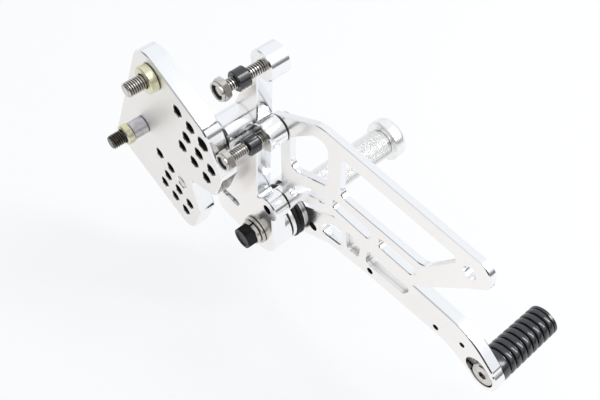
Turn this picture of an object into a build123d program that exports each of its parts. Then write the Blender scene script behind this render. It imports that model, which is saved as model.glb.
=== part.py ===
from build123d import *
from math import atan2, degrees, sqrt
import os

# Brake-side rear set: base plate, bracket, heel guard, pedal and foot peg.
# X points forward along the pedal, Y outboard along the foot peg, Z up. Millimetres.
# The origin is on the pedal's axle, at the bracket's inner face.
# Side-view points are (x, z), or (x, z, corner radius) in outlines.

# Clearances and small edges
RUNNING_GAP = 0.3
SLIDE_GAP = 0.1
PRESS_GAP = 0.02
THREAD_GAP = 0.02
BUSH_GAP = 0.05
BOLT_GAP = 0.25
EDGE = 0.6
FINE_EDGE = 0.4
THREAD_TIP = 0.8

# Layers across the part
BASE_THICKNESS = 10.0
PAD_DEPTH = 16.0
ARM_THICKNESS = 10.0
BOSS_LIP = 1.0
PIVOT_BOSS_LENGTH = 14.4
GUARD_THICKNESS = 4.0
SHIM_THICKNESS = 3.6
COLLAR_LENGTH = 5.3
HUB_LIP = 2.0
PEDAL_THICKNESS = 7.2

# Base plate, in its own frame, which is turned about the axle
BASE_TURN = -21.8
BASE_OUTLINE = [
    (-95.0, 98.0, 14),
    (-37.8, 94.4, 8),
    (-19.0, 75.2, 6),
    (-19.0, 51.5, 6),
    (-37.4, 35.0, 3),
    (-23.0, 14.0, 8),
    (-24.0, -21.0, 11),
    (-103.0, -21.5, 10),
]
POSITION_HOLE_DIA = 6.8
POSITION_HOLE_FLARE = 8.0
POSITION_COLUMNS = 3
POSITION_PITCH = 10.5
POSITION_ROW_PITCH = 12.7
POSITION_ROW_SHIFTS = [0.0, 10.0, 9.0]
POSITION_FIRST = (-58.6, 83.8)
POSITION_GROUP_STEP = (-5.3, -63.5)
POSITION_GROUPS = 2
BRACKET_BOLT_COLUMN = 2

# Bolts to the motorbike's frame, in the base plate's frame
FRAME_BOLT_DIA = 8.0
FRAME_SHANK_DIA = 7.2
FRAME_THREAD_RUNOUT = 0.5
FRAME_BOLT_U = -79.9
FRAME_BOLT_V = {"upper": 85.7, "lower": 30.6}
FRAME_BOLT_REACH = {"upper": 15.6, "lower": 22.0}
FRAME_HEAD_HEIGHT = 5.0
FRAME_HEAD_SINK = 5.4
FRAME_COLLAR_DIA = {"upper": 15.0, "lower": 12.0}
FRAME_COLLAR_LENGTH = {"upper": 5.2, "lower": 4.5}
FRAME_SPACER_DIA = 10.4
FRAME_SPACER_LENGTH = 9.3

# Bracket
PIVOT_BOSS_DIA = 32.4
SMALL_BOSS_DIA = 16.0
PAD_DIA = 19.0
CYLINDER_AT = {"upper": (13.9, 140.8), "lower": (11.2, 90.8)}
GUARD_LOW_AT = (11.2, 30.3)
ARM_EDGE_X = {"top": 10.0, "foot": 2.6}
ARM_TOP_WIDTH = 3.2
ARM_FOOT_RISE = 4.0
ARM_FOOT_RADIUS = 1.5
NECK_EDGE_X = 15.0
PAD_SHOULDER = 8.4
FOOT_CORNER = (-37.0, -15.5, 6)
WEB_SLOT_ENDS = [(-30.0, 7.0), (-18.5, 7.5)]
WEB_SLOT_WIDTH = 5.0
BRACKET_BOLT_DIA = 8.0
BRACKET_BOLT_HEAD_SINK = 12.0
BRACKET_BOLT_TIP_SINK = {"upper": 5.0, "lower": 0.0}
PAD_RELIEF = 1.5

# Master cylinder bolts, collars and lock nuts
CYLINDER_BOLT_DIA = 6.0
CYLINDER_TIP_SINK = 1.2
CYLINDER_HEAD_SINK = 4.0
CYLINDER_COLLAR_DIA = 10.0
CYLINDER_COLLAR_LENGTH = 6.4
CYLINDER_COLLAR_INNER = {"upper": -16.0, "lower": -10.6}
NUT_FLATS = 10.0
NUT_HEIGHT = 3.3
NUT_RING_DIA = 9.4
NUT_RING_HEIGHT = 1.5
NUT_INNER = -25.8

# Heel guard
GUARD_BOSS_DIA = 15.0
GUARD_OUTLINE = [
    (12.1, 30.3, 0),
    (12.1, 90.8, 0),
    (6.6, 96.7, 0),
    (40.6, 115.8, 18),
    (145.1, 114.8, 8),
    (145.1, 102.8, 5),
    (107.1, 58.8, 6),
    (51.6, 58.8, 10),
    (27.1, 46.3, 16),
    (17.1, 25.8, 0),
]
GUARD_WINDOWS = [
    [(20.1, 66.3, 4), (47.1, 77.8, 3), (47.1, 108.3, 5), (36.6, 105.8, 8), (20.1, 90.8, 5)],
    [(56.6, 79.3, 4), (112.1, 81.3, 9), (129.1, 106.3, 3), (56.6, 106.3, 3)],
    [(51.6, 65.3, 3), (78.6, 65.3, 3), (78.6, 72.3, 3), (51.6, 72.3, 3)],
    [(84.1, 66.8, 3), (106.1, 67.3, 3), (112.1, 74.3, 3), (84.1, 73.8, 3)],
]
GUARD_ARC_SLOT = [(21.1, 46.8), (30.1, 57.8), (43.6, 63.3)]
GUARD_ARC_SLOT_WIDTH = 4.5
GUARD_TIP_HOLE_AT = (134.6, 103.8)
GUARD_TIP_HOLE_DIA = 7.0
GUARD_SCREW_REACH = 6.0

# Pivot: bolt, washers, sleeve and bushes
PIVOT_BOLT_DIA = 8.0
PIVOT_FLATS = 13.0
PIVOT_HEAD_HEIGHT = 6.2
PIVOT_HEAD_DISH = 0.6
SPRING_WASHER_DIA = 15.2
SPRING_WASHER_HEIGHT = 2.8
SPRING_WASHER_SPLIT = 1.2
PIVOT_WASHER_DIA = 18.0
PIVOT_WASHER_HEIGHT = 2.2
SLEEVE_DIA = 14.0
SHIM_DIA = 32.0
SHIM_SHOULDER_DIA = 28.0
SHIM_SHOULDER_HEIGHT = 1.0
HUB_COLLAR_DIA = 34.0
HUB_COLLAR_GROOVE = 1.0
BUSH_WALL = 2.0
BUSH_LENGTH = 4.0

# Pedal
HUB_DIA = 38.0
HUB_LIP_DIA = 30.0
ROD_HOLE_AT = (21.0, 1.2)
ROD_HOLE_DIA = 6.6
ROD_LOBE_DIA = 18.0
TOE_AT = (150.4, 7.0)
TOE_END_DIA = 19.5
PEDAL_TOP = [(0.0, 4.0, 0), (41.0, 30.3, 14), (136.5, 31.2, 38)]
TOE_SHOULDER = (8.1, 7.2, 4)
TOE_CHIN = (-6.9, -6.4, 0)
PEDAL_LOW = [(125.2, 8.2, 24), (64.6, 3.2, 40), (36.0, -1.2, 14), (12.0, -14.0, 0)]
PEDAL_POCKETS = [
    [(64.6, 12.8, 3), (93.4, 15.9, 3), (98.0, 25.6, 3), (64.6, 25.6, 3)],
    [(49.8, 10.1, 2.5), (59.0, 11.8, 2.5), (60.0, 25.6, 2.5), (47.7, 25.6, 2.5)],
]
PEDAL_POCKET_DEPTH = 2.5
PEDAL_WINDOW = [(29.2, 4.6, 2), (44.6, 7.7, 2), (44.6, 21.0, 2), (38.5, 20.0, 3), (29.2, 11.3, 2)]
PEDAL_HOLES = [((68.5, 9.0), 4.4), ((117.5, 12.8), 3.8), ((134.7, 18.3), 3.4)]
TOE_SLOT_WAY = (-0.8, 0.6)
TOE_TRAVEL = 5.0
TOE_SINK_DEPTH = 3.6

# Toe peg and its screw
TOE_PEG_DIA = 19.2
TOE_PEG_END_DIA = 17.9
TOE_PEG_LENGTH = 44.0
TOE_GROOVE_FIRST = 5.5
TOE_GROOVE_PITCH = 4.45
TOE_GROOVE_WIDTH = 1.2
TOE_GROOVE_DEPTH = 0.9
TOE_END_LAND = 2.8
TOE_END_ROUND = 2.0
TOE_SCREW_DIA = 6.0
TOE_SCREW_HEAD_DIA = 13.6
TOE_SCREW_HEAD_HEIGHT = 3.0
TOE_SCREW_GRIP = 18.0

# Foot peg
PEG_DIA = 19.5
PEG_FLANGE_DIA = 24.6
PEG_LENGTH = 79.6
PEG_SEAT_HEIGHT = 4.0
PEG_CAP_DIA = 28.0
PEG_CAP_LENGTH = 9.4
PEG_CAP_ROUND = 3.5
PEG_NECK_DEPTH = 1.2
PEG_NECK_LENGTH = 3.0
PEG_BORE_DEPTH = 24.0

# Socket heads of the screws
CAP_HEAD_RATIO = 1.62
SOCKET_RATIO = 0.75
SOCKET_DEPTH_RATIO = 0.5
BUTTON_HEAD_DIA = 10.5
BUTTON_HEAD_HEIGHT = 3.3

# Stations that follow from the layers
PAD_FACE = -PAD_DEPTH
BASE_INNER = PAD_FACE - BASE_THICKNESS
FRAME_HEAD_SEAT = PAD_FACE - FRAME_HEAD_SINK
BOSS_INNER = -BOSS_LIP
GUARD_OUTER = ARM_THICKNESS + GUARD_THICKNESS
BRACKET_BOLT_SEAT = ARM_THICKNESS - BRACKET_BOLT_HEAD_SINK
CYLINDER_SEAT = {"upper": ARM_THICKNESS - CYLINDER_HEAD_SINK, "lower": GUARD_OUTER}
COLLAR_START = PIVOT_BOSS_LENGTH + SHIM_THICKNESS
HUB_START = COLLAR_START + COLLAR_LENGTH + RUNNING_GAP
PEDAL_INNER = HUB_START + HUB_LIP
PEDAL_OUTER = PEDAL_INNER + PEDAL_THICKNESS
PEG_START = PEDAL_OUTER + RUNNING_GAP
AXLE = (0.0, 0.0)
SIDES = ["upper", "lower"]


def outline(corners):
    """Face inside a closed run of straight lines with rounded corners."""
    points = [corner[:2] for corner in corners]
    radii = [corner[2] for corner in corners]
    return make_face(FilletPolyline(*points, radius=radii, close=True))


def disc(at, dia):
    return Pos(*at) * Circle(dia / 2)


def threaded(dia):
    """Bore of a threaded hole, a hair wider than its screw."""
    return dia + 2 * THREAD_GAP


def hexagon(at, flats):
    return Pos(*at) * RegularPolygon(flats / 2, 6, major_radius=False)


def slot(start, end, width):
    """Face of a straight slot with round ends about two points."""
    way = Vector(*end) - Vector(*start)
    middle = (Vector(*start) + Vector(*end)) / 2
    turn = Rot(0, 0, degrees(atan2(way.Y, way.X)))
    return Pos(middle) * turn * SlotCenterToCenter(way.length, width)


def slab(profile, start, end):
    """Solid of a side-view profile between two stations along Y."""
    return extrude(Plane.XZ.offset(-start) * profile, amount=start - end)


def eased(solid, size, stations):
    """Chamfer every edge of the flat faces at the given stations along Y."""
    edges = ShapeList()
    for face in solid.faces().filter_by(Axis.Y):
        if any(abs(face.center().Y - station) < 1e-4 for station in stations):
            edges += face.edges()
    return chamfer(edges, size)


def turned(points, at=AXLE):
    """Solid turned about an axis along Y, from (radius, y) points."""
    face = make_face(Polyline(*points, close=True))
    return Pos(at[0], 0, at[1]) * revolve(face, axis=Axis.Y)


def ring(at, outer, inner, start, end, edge=FINE_EDGE):
    """Turned ring with chamfered outer edges."""
    return turned([
        (inner / 2, start),
        (outer / 2 - edge, start),
        (outer / 2, start + edge),
        (outer / 2, end - edge),
        (outer / 2 - edge, end),
        (inner / 2, end),
    ], at)


def stud(at, dia, tip, root):
    """Bolt shank with a chamfered tip; the root is the end under the head."""
    way = 1 if root > tip else -1
    return turned([
        (0, tip),
        (dia / 2 - THREAD_TIP, tip),
        (dia / 2, tip + way * THREAD_TIP),
        (dia / 2, root),
        (0, root),
    ], at)


def socket_head(at, dia, seat, head_dia, head_height):
    """Head of a socket screw, outboard of its seat."""
    top = seat + head_height
    socket = slab(hexagon(at, dia * SOCKET_RATIO), top - dia * SOCKET_DEPTH_RATIO, top)
    return ring(at, head_dia, 0, seat, top) - socket


def cap_screw(at, dia, tip, seat, head_dia, head_height):
    """Socket screw whose head sits outboard of its seat."""
    return stud(at, dia, tip, seat) + socket_head(at, dia, seat, head_dia, head_height)


def in_base(point):
    """Side-view place of a point given in the base plate's frame."""
    return tuple(Vector(*point).rotate(Axis.Z, BASE_TURN))[:2]


def position_hole(group, row, column):
    """Side-view place of one tapped hole of the base plate."""
    u = POSITION_FIRST[0] + POSITION_ROW_SHIFTS[row] + column * POSITION_PITCH
    v = POSITION_FIRST[1] - row * POSITION_ROW_PITCH
    return in_base((u + group * POSITION_GROUP_STEP[0], v + group * POSITION_GROUP_STEP[1]))


def frame_bolt_at(side):
    return in_base((FRAME_BOLT_U, FRAME_BOLT_V[side]))


BRACKET_BOLT_AT = {
    side: position_hole(group, 0, BRACKET_BOLT_COLUMN) for group, side in enumerate(SIDES)
}


def base_plate():
    plate = slab(Rot(0, 0, BASE_TURN) * outline(BASE_OUTLINE), BASE_INNER, PAD_FACE)
    plate = eased(plate, EDGE, [BASE_INNER, PAD_FACE])
    flare = (POSITION_HOLE_FLARE - POSITION_HOLE_DIA) / 2
    cutters = []
    for group in range(POSITION_GROUPS):
        for row in range(len(POSITION_ROW_SHIFTS)):
            for column in range(POSITION_COLUMNS):
                at = position_hole(group, row, column)
                bolted = row == 0 and column == BRACKET_BOLT_COLUMN
                dia = threaded(BRACKET_BOLT_DIA) if bolted else POSITION_HOLE_DIA
                cutters.append(turned([
                    (0, BASE_INNER),
                    (dia / 2 + flare, BASE_INNER),
                    (dia / 2, BASE_INNER + flare),
                    (dia / 2, PAD_FACE),
                    (0, PAD_FACE),
                ], at))
    head_dia = FRAME_BOLT_DIA * CAP_HEAD_RATIO
    for side in SIDES:
        at = frame_bolt_at(side)
        cutters.append(slab(disc(at, FRAME_BOLT_DIA + 2 * BOLT_GAP), BASE_INNER, PAD_FACE))
        cutters.append(slab(disc(at, head_dia + 2 * BOLT_GAP), FRAME_HEAD_SEAT, PAD_FACE))
    return plate - cutters


def frame_collar_span(side):
    """Stations of a frame collar's two ends."""
    end = BASE_INNER - (FRAME_SPACER_LENGTH if side == "lower" else 0)
    return end - FRAME_COLLAR_LENGTH[side], end


def frame_bolt(side):
    """Low-headed screw with a reduced shank, threaded where it stands out of its collar."""
    at = frame_bolt_at(side)
    thread_end = frame_collar_span(side)[0] - FRAME_THREAD_RUNOUT
    bolt = stud(at, FRAME_BOLT_DIA, BASE_INNER - FRAME_BOLT_REACH[side], thread_end)
    bolt += slab(disc(at, FRAME_SHANK_DIA), thread_end, FRAME_HEAD_SEAT)
    head_dia = FRAME_BOLT_DIA * CAP_HEAD_RATIO
    return bolt + socket_head(at, FRAME_BOLT_DIA, FRAME_HEAD_SEAT, head_dia, FRAME_HEAD_HEIGHT)


def frame_collar(side):
    start, end = frame_collar_span(side)
    bore = FRAME_BOLT_DIA + 2 * BOLT_GAP
    return ring(frame_bolt_at(side), FRAME_COLLAR_DIA[side], bore, start, end, EDGE)


def frame_spacer():
    bore = FRAME_SHANK_DIA + 2 * BOLT_GAP
    start = BASE_INNER - FRAME_SPACER_LENGTH
    return ring(frame_bolt_at("lower"), FRAME_SPACER_DIA, bore, start, BASE_INNER)


def bracket_outline():
    """Corners of the bracket's flat arm, neck and web, round the pads and the bosses."""
    upper, lower = (Vector(*BRACKET_BOLT_AT[side]) for side in SIDES)
    along = (upper - lower).normalized()
    outward = along.rotate(Axis.Z, 90) * (PAD_DIA / 2)
    knee = lower + outward - along * PAD_SHOULDER
    shoulder = upper + outward + along * PAD_SHOULDER
    arm_top = CYLINDER_AT["upper"][1]
    neck_top = GUARD_LOW_AT[1] + ARM_FOOT_RISE
    return [
        (ARM_EDGE_X["top"], arm_top, 0),
        (ARM_EDGE_X["foot"], neck_top, ARM_FOOT_RADIUS),
        (NECK_EDGE_X, neck_top, 0),
        (NECK_EDGE_X, 0, 0),
        (0, -PIVOT_BOSS_DIA / 2, 0),
        FOOT_CORNER,
        (knee.X, knee.Y, PAD_DIA / 2),
        (shoulder.X, shoulder.Y, PAD_DIA / 2),
        (ARM_EDGE_X["top"] - ARM_TOP_WIDTH, arm_top, 0),
    ]


def bracket():
    """Flat arm and web, with pads behind the base plate's holes and bosses for the bolts."""
    profile = outline(bracket_outline()) - slot(*WEB_SLOT_ENDS, WEB_SLOT_WIDTH)
    profile += disc(AXLE, PIVOT_BOSS_DIA)
    profile += disc(GUARD_LOW_AT, SMALL_BOSS_DIA)
    solid = eased(slab(profile, 0, ARM_THICKNESS), EDGE, [0, ARM_THICKNESS])
    pads = [disc(BRACKET_BOLT_AT[side], PAD_DIA) for side in SIDES]
    pad_bar = slab(make_hull(pads[0].edges() + pads[1].edges()), PAD_FACE, ARM_THICKNESS - EDGE)
    solid += eased(pad_bar, EDGE, [PAD_FACE])
    pivot_boss = slab(disc(AXLE, PIVOT_BOSS_DIA), EDGE, PIVOT_BOSS_LENGTH)
    solid += eased(pivot_boss, EDGE, [PIVOT_BOSS_LENGTH])
    for at in CYLINDER_AT.values():
        boss = slab(disc(at, SMALL_BOSS_DIA), BOSS_INNER, ARM_THICKNESS)
        solid += eased(boss, EDGE, [BOSS_INNER, ARM_THICKNESS])
    thread = threaded(CYLINDER_BOLT_DIA)
    bosses = [*CYLINDER_AT.values(), GUARD_LOW_AT]
    cutters = [slab(disc(at, thread), BOSS_INNER, ARM_THICKNESS) for at in bosses]
    cylinder_head = disc(CYLINDER_AT["upper"], BUTTON_HEAD_DIA + 2 * BOLT_GAP)
    cutters.append(slab(cylinder_head, CYLINDER_SEAT["upper"], ARM_THICKNESS))
    cutters.append(slab(disc(AXLE, PIVOT_BOLT_DIA + 2 * BOLT_GAP), 0, PIVOT_BOSS_LENGTH))
    relief = disc(CYLINDER_AT["lower"], CYLINDER_COLLAR_DIA + 2 * PAD_RELIEF)
    cutters.append(slab(relief, PAD_FACE, BOSS_INNER))
    for at in BRACKET_BOLT_AT.values():
        head = BRACKET_BOLT_DIA * CAP_HEAD_RATIO + 2 * BOLT_GAP
        cutters.append(slab(disc(at, BRACKET_BOLT_DIA + 2 * BOLT_GAP), PAD_FACE, ARM_THICKNESS))
        cutters.append(slab(disc(at, head), BRACKET_BOLT_SEAT, ARM_THICKNESS))
    return solid - cutters


def bracket_bolt(side):
    head_dia = BRACKET_BOLT_DIA * CAP_HEAD_RATIO
    tip = BASE_INNER + BRACKET_BOLT_TIP_SINK[side]
    at = BRACKET_BOLT_AT[side]
    return cap_screw(at, BRACKET_BOLT_DIA, tip, BRACKET_BOLT_SEAT, head_dia, BRACKET_BOLT_DIA)


def cylinder_bolt(side):
    tip = NUT_INNER + CYLINDER_TIP_SINK
    return cap_screw(CYLINDER_AT[side], CYLINDER_BOLT_DIA, tip, CYLINDER_SEAT[side],
                     BUTTON_HEAD_DIA, BUTTON_HEAD_HEIGHT)


def cylinder_collar(side):
    start = CYLINDER_COLLAR_INNER[side]
    bore = CYLINDER_BOLT_DIA + 2 * PRESS_GAP
    return ring(CYLINDER_AT[side], CYLINDER_COLLAR_DIA, bore, start, start + CYLINDER_COLLAR_LENGTH)


def cylinder_nut(side):
    """Lock nut: a hexagon with rounded-off corners and a lock ring on its inner end."""
    at = CYLINDER_AT[side]
    hex_start = NUT_INNER + NUT_RING_HEIGHT
    end = hex_start + NUT_HEIGHT
    corner = NUT_FLATS / sqrt(3)
    body = slab(hexagon(at, NUT_FLATS), hex_start, end)
    body &= ring(at, 2 * corner, 0, hex_start, end, corner - NUT_FLATS / 2)
    body += ring(at, NUT_RING_DIA, 0, NUT_INNER, hex_start)
    return body - slab(disc(at, threaded(CYLINDER_BOLT_DIA)), NUT_INNER, end)


def heel_guard():
    profile = outline(GUARD_OUTLINE)
    for at in (CYLINDER_AT["lower"], GUARD_LOW_AT):
        profile += disc(at, GUARD_BOSS_DIA)
    for window in GUARD_WINDOWS:
        profile -= outline(window)
    profile -= SlotArc(ThreePointArc(*GUARD_ARC_SLOT), GUARD_ARC_SLOT_WIDTH)
    plate = eased(slab(profile, ARM_THICKNESS, GUARD_OUTER), FINE_EDGE, [ARM_THICKNESS, GUARD_OUTER])
    bolt_hole = CYLINDER_BOLT_DIA + 2 * BOLT_GAP
    cutters = [
        slab(disc(CYLINDER_AT["lower"], bolt_hole), ARM_THICKNESS, GUARD_OUTER),
        slab(disc(GUARD_LOW_AT, bolt_hole), ARM_THICKNESS, GUARD_OUTER),
        slab(disc(GUARD_TIP_HOLE_AT, GUARD_TIP_HOLE_DIA), ARM_THICKNESS, GUARD_OUTER),
    ]
    return plate - cutters


def guard_screw():
    return cap_screw(GUARD_LOW_AT, CYLINDER_BOLT_DIA, ARM_THICKNESS - GUARD_SCREW_REACH, GUARD_OUTER,
                     BUTTON_HEAD_DIA, BUTTON_HEAD_HEIGHT)


def pivot_head_seat():
    return -PIVOT_WASHER_HEIGHT - SPRING_WASHER_HEIGHT


def pivot_bolt():
    """Hex bolt through the boss and the sleeve into the foot peg."""
    seat = pivot_head_seat()
    top = seat - PIVOT_HEAD_HEIGHT
    corner = PIVOT_FLATS / sqrt(3)
    head = slab(hexagon(AXLE, PIVOT_FLATS), top, seat)
    head &= ring(AXLE, 2 * corner, 0, top, seat, corner - PIVOT_FLATS / 2)
    tip = PEG_START + PEG_BORE_DEPTH - PIVOT_BOLT_DIA / 2
    dish = turned([
        (0, top),
        (PIVOT_FLATS / 2 - 2 * PIVOT_HEAD_DISH, top),
        (PIVOT_FLATS / 2 - 3 * PIVOT_HEAD_DISH, top + PIVOT_HEAD_DISH),
        (0, top + PIVOT_HEAD_DISH),
    ])
    return stud(AXLE, PIVOT_BOLT_DIA, tip, seat) + head - dish


def pivot_spring_washer():
    bore = PIVOT_BOLT_DIA + 2 * BOLT_GAP
    start = pivot_head_seat()
    washer = ring(AXLE, SPRING_WASHER_DIA, bore, start, -PIVOT_WASHER_HEIGHT)
    split = Pos(0, SPRING_WASHER_DIA / 2) * Rectangle(SPRING_WASHER_SPLIT, SPRING_WASHER_DIA)
    return washer - slab(split, start, -PIVOT_WASHER_HEIGHT)


def pivot_washer():
    bore = PIVOT_BOLT_DIA + 2 * BOLT_GAP
    return ring(AXLE, PIVOT_WASHER_DIA, bore, -PIVOT_WASHER_HEIGHT, 0)


def pivot_sleeve():
    return ring(AXLE, SLEEVE_DIA, PIVOT_BOLT_DIA + 2 * BOLT_GAP, PIVOT_BOSS_LENGTH, PEG_START)


def hub_shim():
    """Washer with a narrower shoulder against the pivot boss."""
    bore = SLEEVE_DIA + 2 * BUSH_GAP
    shoulder_end = PIVOT_BOSS_LENGTH + SHIM_SHOULDER_HEIGHT
    shoulder = slab(disc(AXLE, SHIM_SHOULDER_DIA) - disc(AXLE, bore), PIVOT_BOSS_LENGTH, shoulder_end)
    return ring(AXLE, SHIM_DIA, bore, shoulder_end, COLLAR_START) + shoulder


def hub_collar():
    """Seal ring with one groove round its middle."""
    end = COLLAR_START + COLLAR_LENGTH
    middle = (COLLAR_START + end) / 2
    bore = SLEEVE_DIA / 2 + BUSH_GAP
    radius = HUB_COLLAR_DIA / 2
    return turned([
        (bore, COLLAR_START),
        (radius - EDGE, COLLAR_START),
        (radius, COLLAR_START + EDGE),
        (radius, middle - HUB_COLLAR_GROOVE),
        (radius - HUB_COLLAR_GROOVE, middle),
        (radius, middle + HUB_COLLAR_GROOVE),
        (radius, end - EDGE),
        (radius - EDGE, end),
        (bore, end),
    ])


def bush_bore():
    return SLEEVE_DIA + 2 * BUSH_GAP


def bush_dia():
    return bush_bore() + 2 * BUSH_WALL


def hub_bush(start):
    return ring(AXLE, bush_dia(), bush_bore(), start, start + BUSH_LENGTH)


def pedal():
    toe = [(TOE_AT[0] + x, TOE_AT[1] + z, radius) for x, z, radius in (TOE_SHOULDER, (0, 0, 0), TOE_CHIN)]
    profile = outline(PEDAL_TOP + toe + PEDAL_LOW)
    profile += disc(AXLE, HUB_DIA)
    profile += disc(ROD_HOLE_AT, ROD_LOBE_DIA)
    profile += disc(TOE_AT, TOE_END_DIA)
    profile -= outline(PEDAL_WINDOW)
    plate = eased(slab(profile, PEDAL_INNER, PEDAL_OUTER), EDGE, [PEDAL_INNER, PEDAL_OUTER])
    hub = eased(slab(disc(AXLE, HUB_LIP_DIA), HUB_START, PEDAL_OUTER - EDGE), EDGE, [HUB_START])
    far_end = tuple(TOE_AT[axis] + TOE_TRAVEL * TOE_SLOT_WAY[axis] for axis in range(2))
    screw_slot = slot(TOE_AT, far_end, TOE_SCREW_DIA + 2 * BOLT_GAP)
    head_slot = slot(TOE_AT, far_end, TOE_SCREW_HEAD_DIA + 2 * RUNNING_GAP)
    cutters = [
        slab(disc(AXLE, bush_dia() + 2 * PRESS_GAP), HUB_START, PEDAL_OUTER),
        slab(disc(ROD_HOLE_AT, ROD_HOLE_DIA), PEDAL_INNER, PEDAL_OUTER),
        slab(screw_slot, PEDAL_INNER, PEDAL_OUTER),
        slab(head_slot, PEDAL_INNER, PEDAL_INNER + TOE_SINK_DEPTH),
    ]
    cutters += [slab(outline(pocket), PEDAL_INNER, PEDAL_INNER + PEDAL_POCKET_DEPTH)
                for pocket in PEDAL_POCKETS]
    cutters += [slab(disc(at, dia), PEDAL_INNER, PEDAL_OUTER) for at, dia in PEDAL_HOLES]
    return plate + hub - cutters


def rounded_end(solid, radius):
    """Round the rim of the outermost flat face along Y."""
    return fillet(solid.faces().sort_by(Axis.Y)[-1].edges(), radius)


def toe_peg():
    """Tapered peg with V grooves and a rounded outer end, bored for its screw."""
    start = PEDAL_OUTER + SLIDE_GAP
    end = start + TOE_PEG_LENGTH
    bore = threaded(TOE_SCREW_DIA) / 2
    bore_end = PEDAL_INNER + TOE_SINK_DEPTH + TOE_SCREW_GRIP
    grooved = TOE_PEG_LENGTH - TOE_GROOVE_FIRST - TOE_END_LAND
    half = TOE_GROOVE_WIDTH / 2

    def surface(y, sink=0):
        """Point on the taper, or below it."""
        dia = TOE_PEG_DIA + (TOE_PEG_END_DIA - TOE_PEG_DIA) * (y - start) / TOE_PEG_LENGTH
        return dia / 2 - sink, y

    points = [(bore, start), surface(start, EDGE), surface(start + EDGE)]
    for groove in range(int(grooved / TOE_GROOVE_PITCH) + 1):
        middle = start + TOE_GROOVE_FIRST + groove * TOE_GROOVE_PITCH
        points += [surface(middle - half), surface(middle, TOE_GROOVE_DEPTH), surface(middle + half)]
    points += [surface(end), (0, end), (0, bore_end), (bore, bore_end)]
    return rounded_end(turned(points, TOE_AT), TOE_END_ROUND)


def toe_screw():
    """Low flat-headed socket screw; its head is on the inner side."""
    seat = PEDAL_INNER + TOE_SINK_DEPTH - SLIDE_GAP
    top = seat - TOE_SCREW_HEAD_HEIGHT
    tip = seat + TOE_SCREW_GRIP - TOE_SCREW_DIA / 3
    head = ring(TOE_AT, TOE_SCREW_HEAD_DIA, 0, top, seat, EDGE)
    socket_dia = TOE_SCREW_DIA * SOCKET_RATIO
    socket = slab(hexagon(TOE_AT, socket_dia), top, top + TOE_SCREW_DIA * SOCKET_DEPTH_RATIO)
    return stud(TOE_AT, TOE_SCREW_DIA, tip, seat) + head - socket


def foot_peg():
    """Turned bar with a seat flange, a relief groove at each end and a rounded end cap."""
    end = PEG_START + PEG_LENGTH
    body = PEG_DIA / 2
    flange = PEG_FLANGE_DIA / 2
    cap = PEG_CAP_DIA / 2
    neck = body - PEG_NECK_DEPTH
    bore = threaded(PIVOT_BOLT_DIA) / 2
    seat_end = PEG_START + PEG_SEAT_HEIGHT
    cap_start = end - PEG_CAP_LENGTH
    bar = turned([
        (bore, PEG_START),
        (flange - EDGE, PEG_START),
        (flange, PEG_START + EDGE),
        (flange, seat_end - EDGE),
        (flange - EDGE, seat_end),
        (neck, seat_end),
        (neck, seat_end + PEG_NECK_LENGTH - PEG_NECK_DEPTH),
        (body, seat_end + PEG_NECK_LENGTH),
        (body, cap_start - PEG_NECK_LENGTH),
        (neck, cap_start - PEG_NECK_LENGTH + PEG_NECK_DEPTH),
        (neck, cap_start),
        (cap - EDGE, cap_start),
        (cap, cap_start + EDGE),
        (cap, end),
        (0, end),
        (0, PEG_START + PEG_BORE_DEPTH),
        (bore, PEG_START + PEG_BORE_DEPTH),
    ])
    return rounded_end(bar, PEG_CAP_ROUND)


def pieces():
    """Every physical piece, by node name."""
    nodes = {
        "base_plate": base_plate(),
        "main_bracket": bracket(),
        "heel_guard": heel_guard(),
        "guard_screw": guard_screw(),
        "frame_spacer_lower": frame_spacer(),
        "pivot_bolt": pivot_bolt(),
        "pivot_spring_washer": pivot_spring_washer(),
        "pivot_washer": pivot_washer(),
        "pivot_sleeve": pivot_sleeve(),
        "hub_shim": hub_shim(),
        "hub_collar": hub_collar(),
        "hub_bush_inner": hub_bush(HUB_START),
        "hub_bush_outer": hub_bush(PEDAL_OUTER - BUSH_LENGTH),
        "pedal": pedal(),
        "toe_peg": toe_peg(),
        "toe_screw": toe_screw(),
        "foot_peg": foot_peg(),
    }
    for side in SIDES:
        nodes[f"frame_bolt_{side}"] = frame_bolt(side)
        nodes[f"frame_collar_{side}"] = frame_collar(side)
        nodes[f"bracket_bolt_{side}"] = bracket_bolt(side)
        nodes[f"cylinder_bolt_{side}"] = cylinder_bolt(side)
        nodes[f"cylinder_collar_{side}"] = cylinder_collar(side)
        nodes[f"cylinder_nut_{side}"] = cylinder_nut(side)
    return nodes


os.makedirs("parts", exist_ok=True)
for name, solid in pieces().items():
    export_step(solid, f"parts/{name}.step")
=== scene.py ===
# %% [markdown]
# # Dressing a rear set: base plate, bracket, heel guard, brake pedal and foot peg
#
# The real object is a set of milled aluminium plates, turned aluminium bars and
# plated steel screws. The solids come in as a fixed frame, at their real size in
# metres, with X forward along the pedal, Y outboard along the foot peg and Z up.
# This lesson gives every solid a finish, and models what a plain solid lacks:
# screw threads, lock nuts, tapped holes, knurling and rounded ribs. Sizes of pieces
# and textures are written in millimetres, and MM turns them into metres. Only the
# table and the lamp are given in metres.

# %% Load the frame
import math
import bpy
from mathutils import Matrix, Vector


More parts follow.
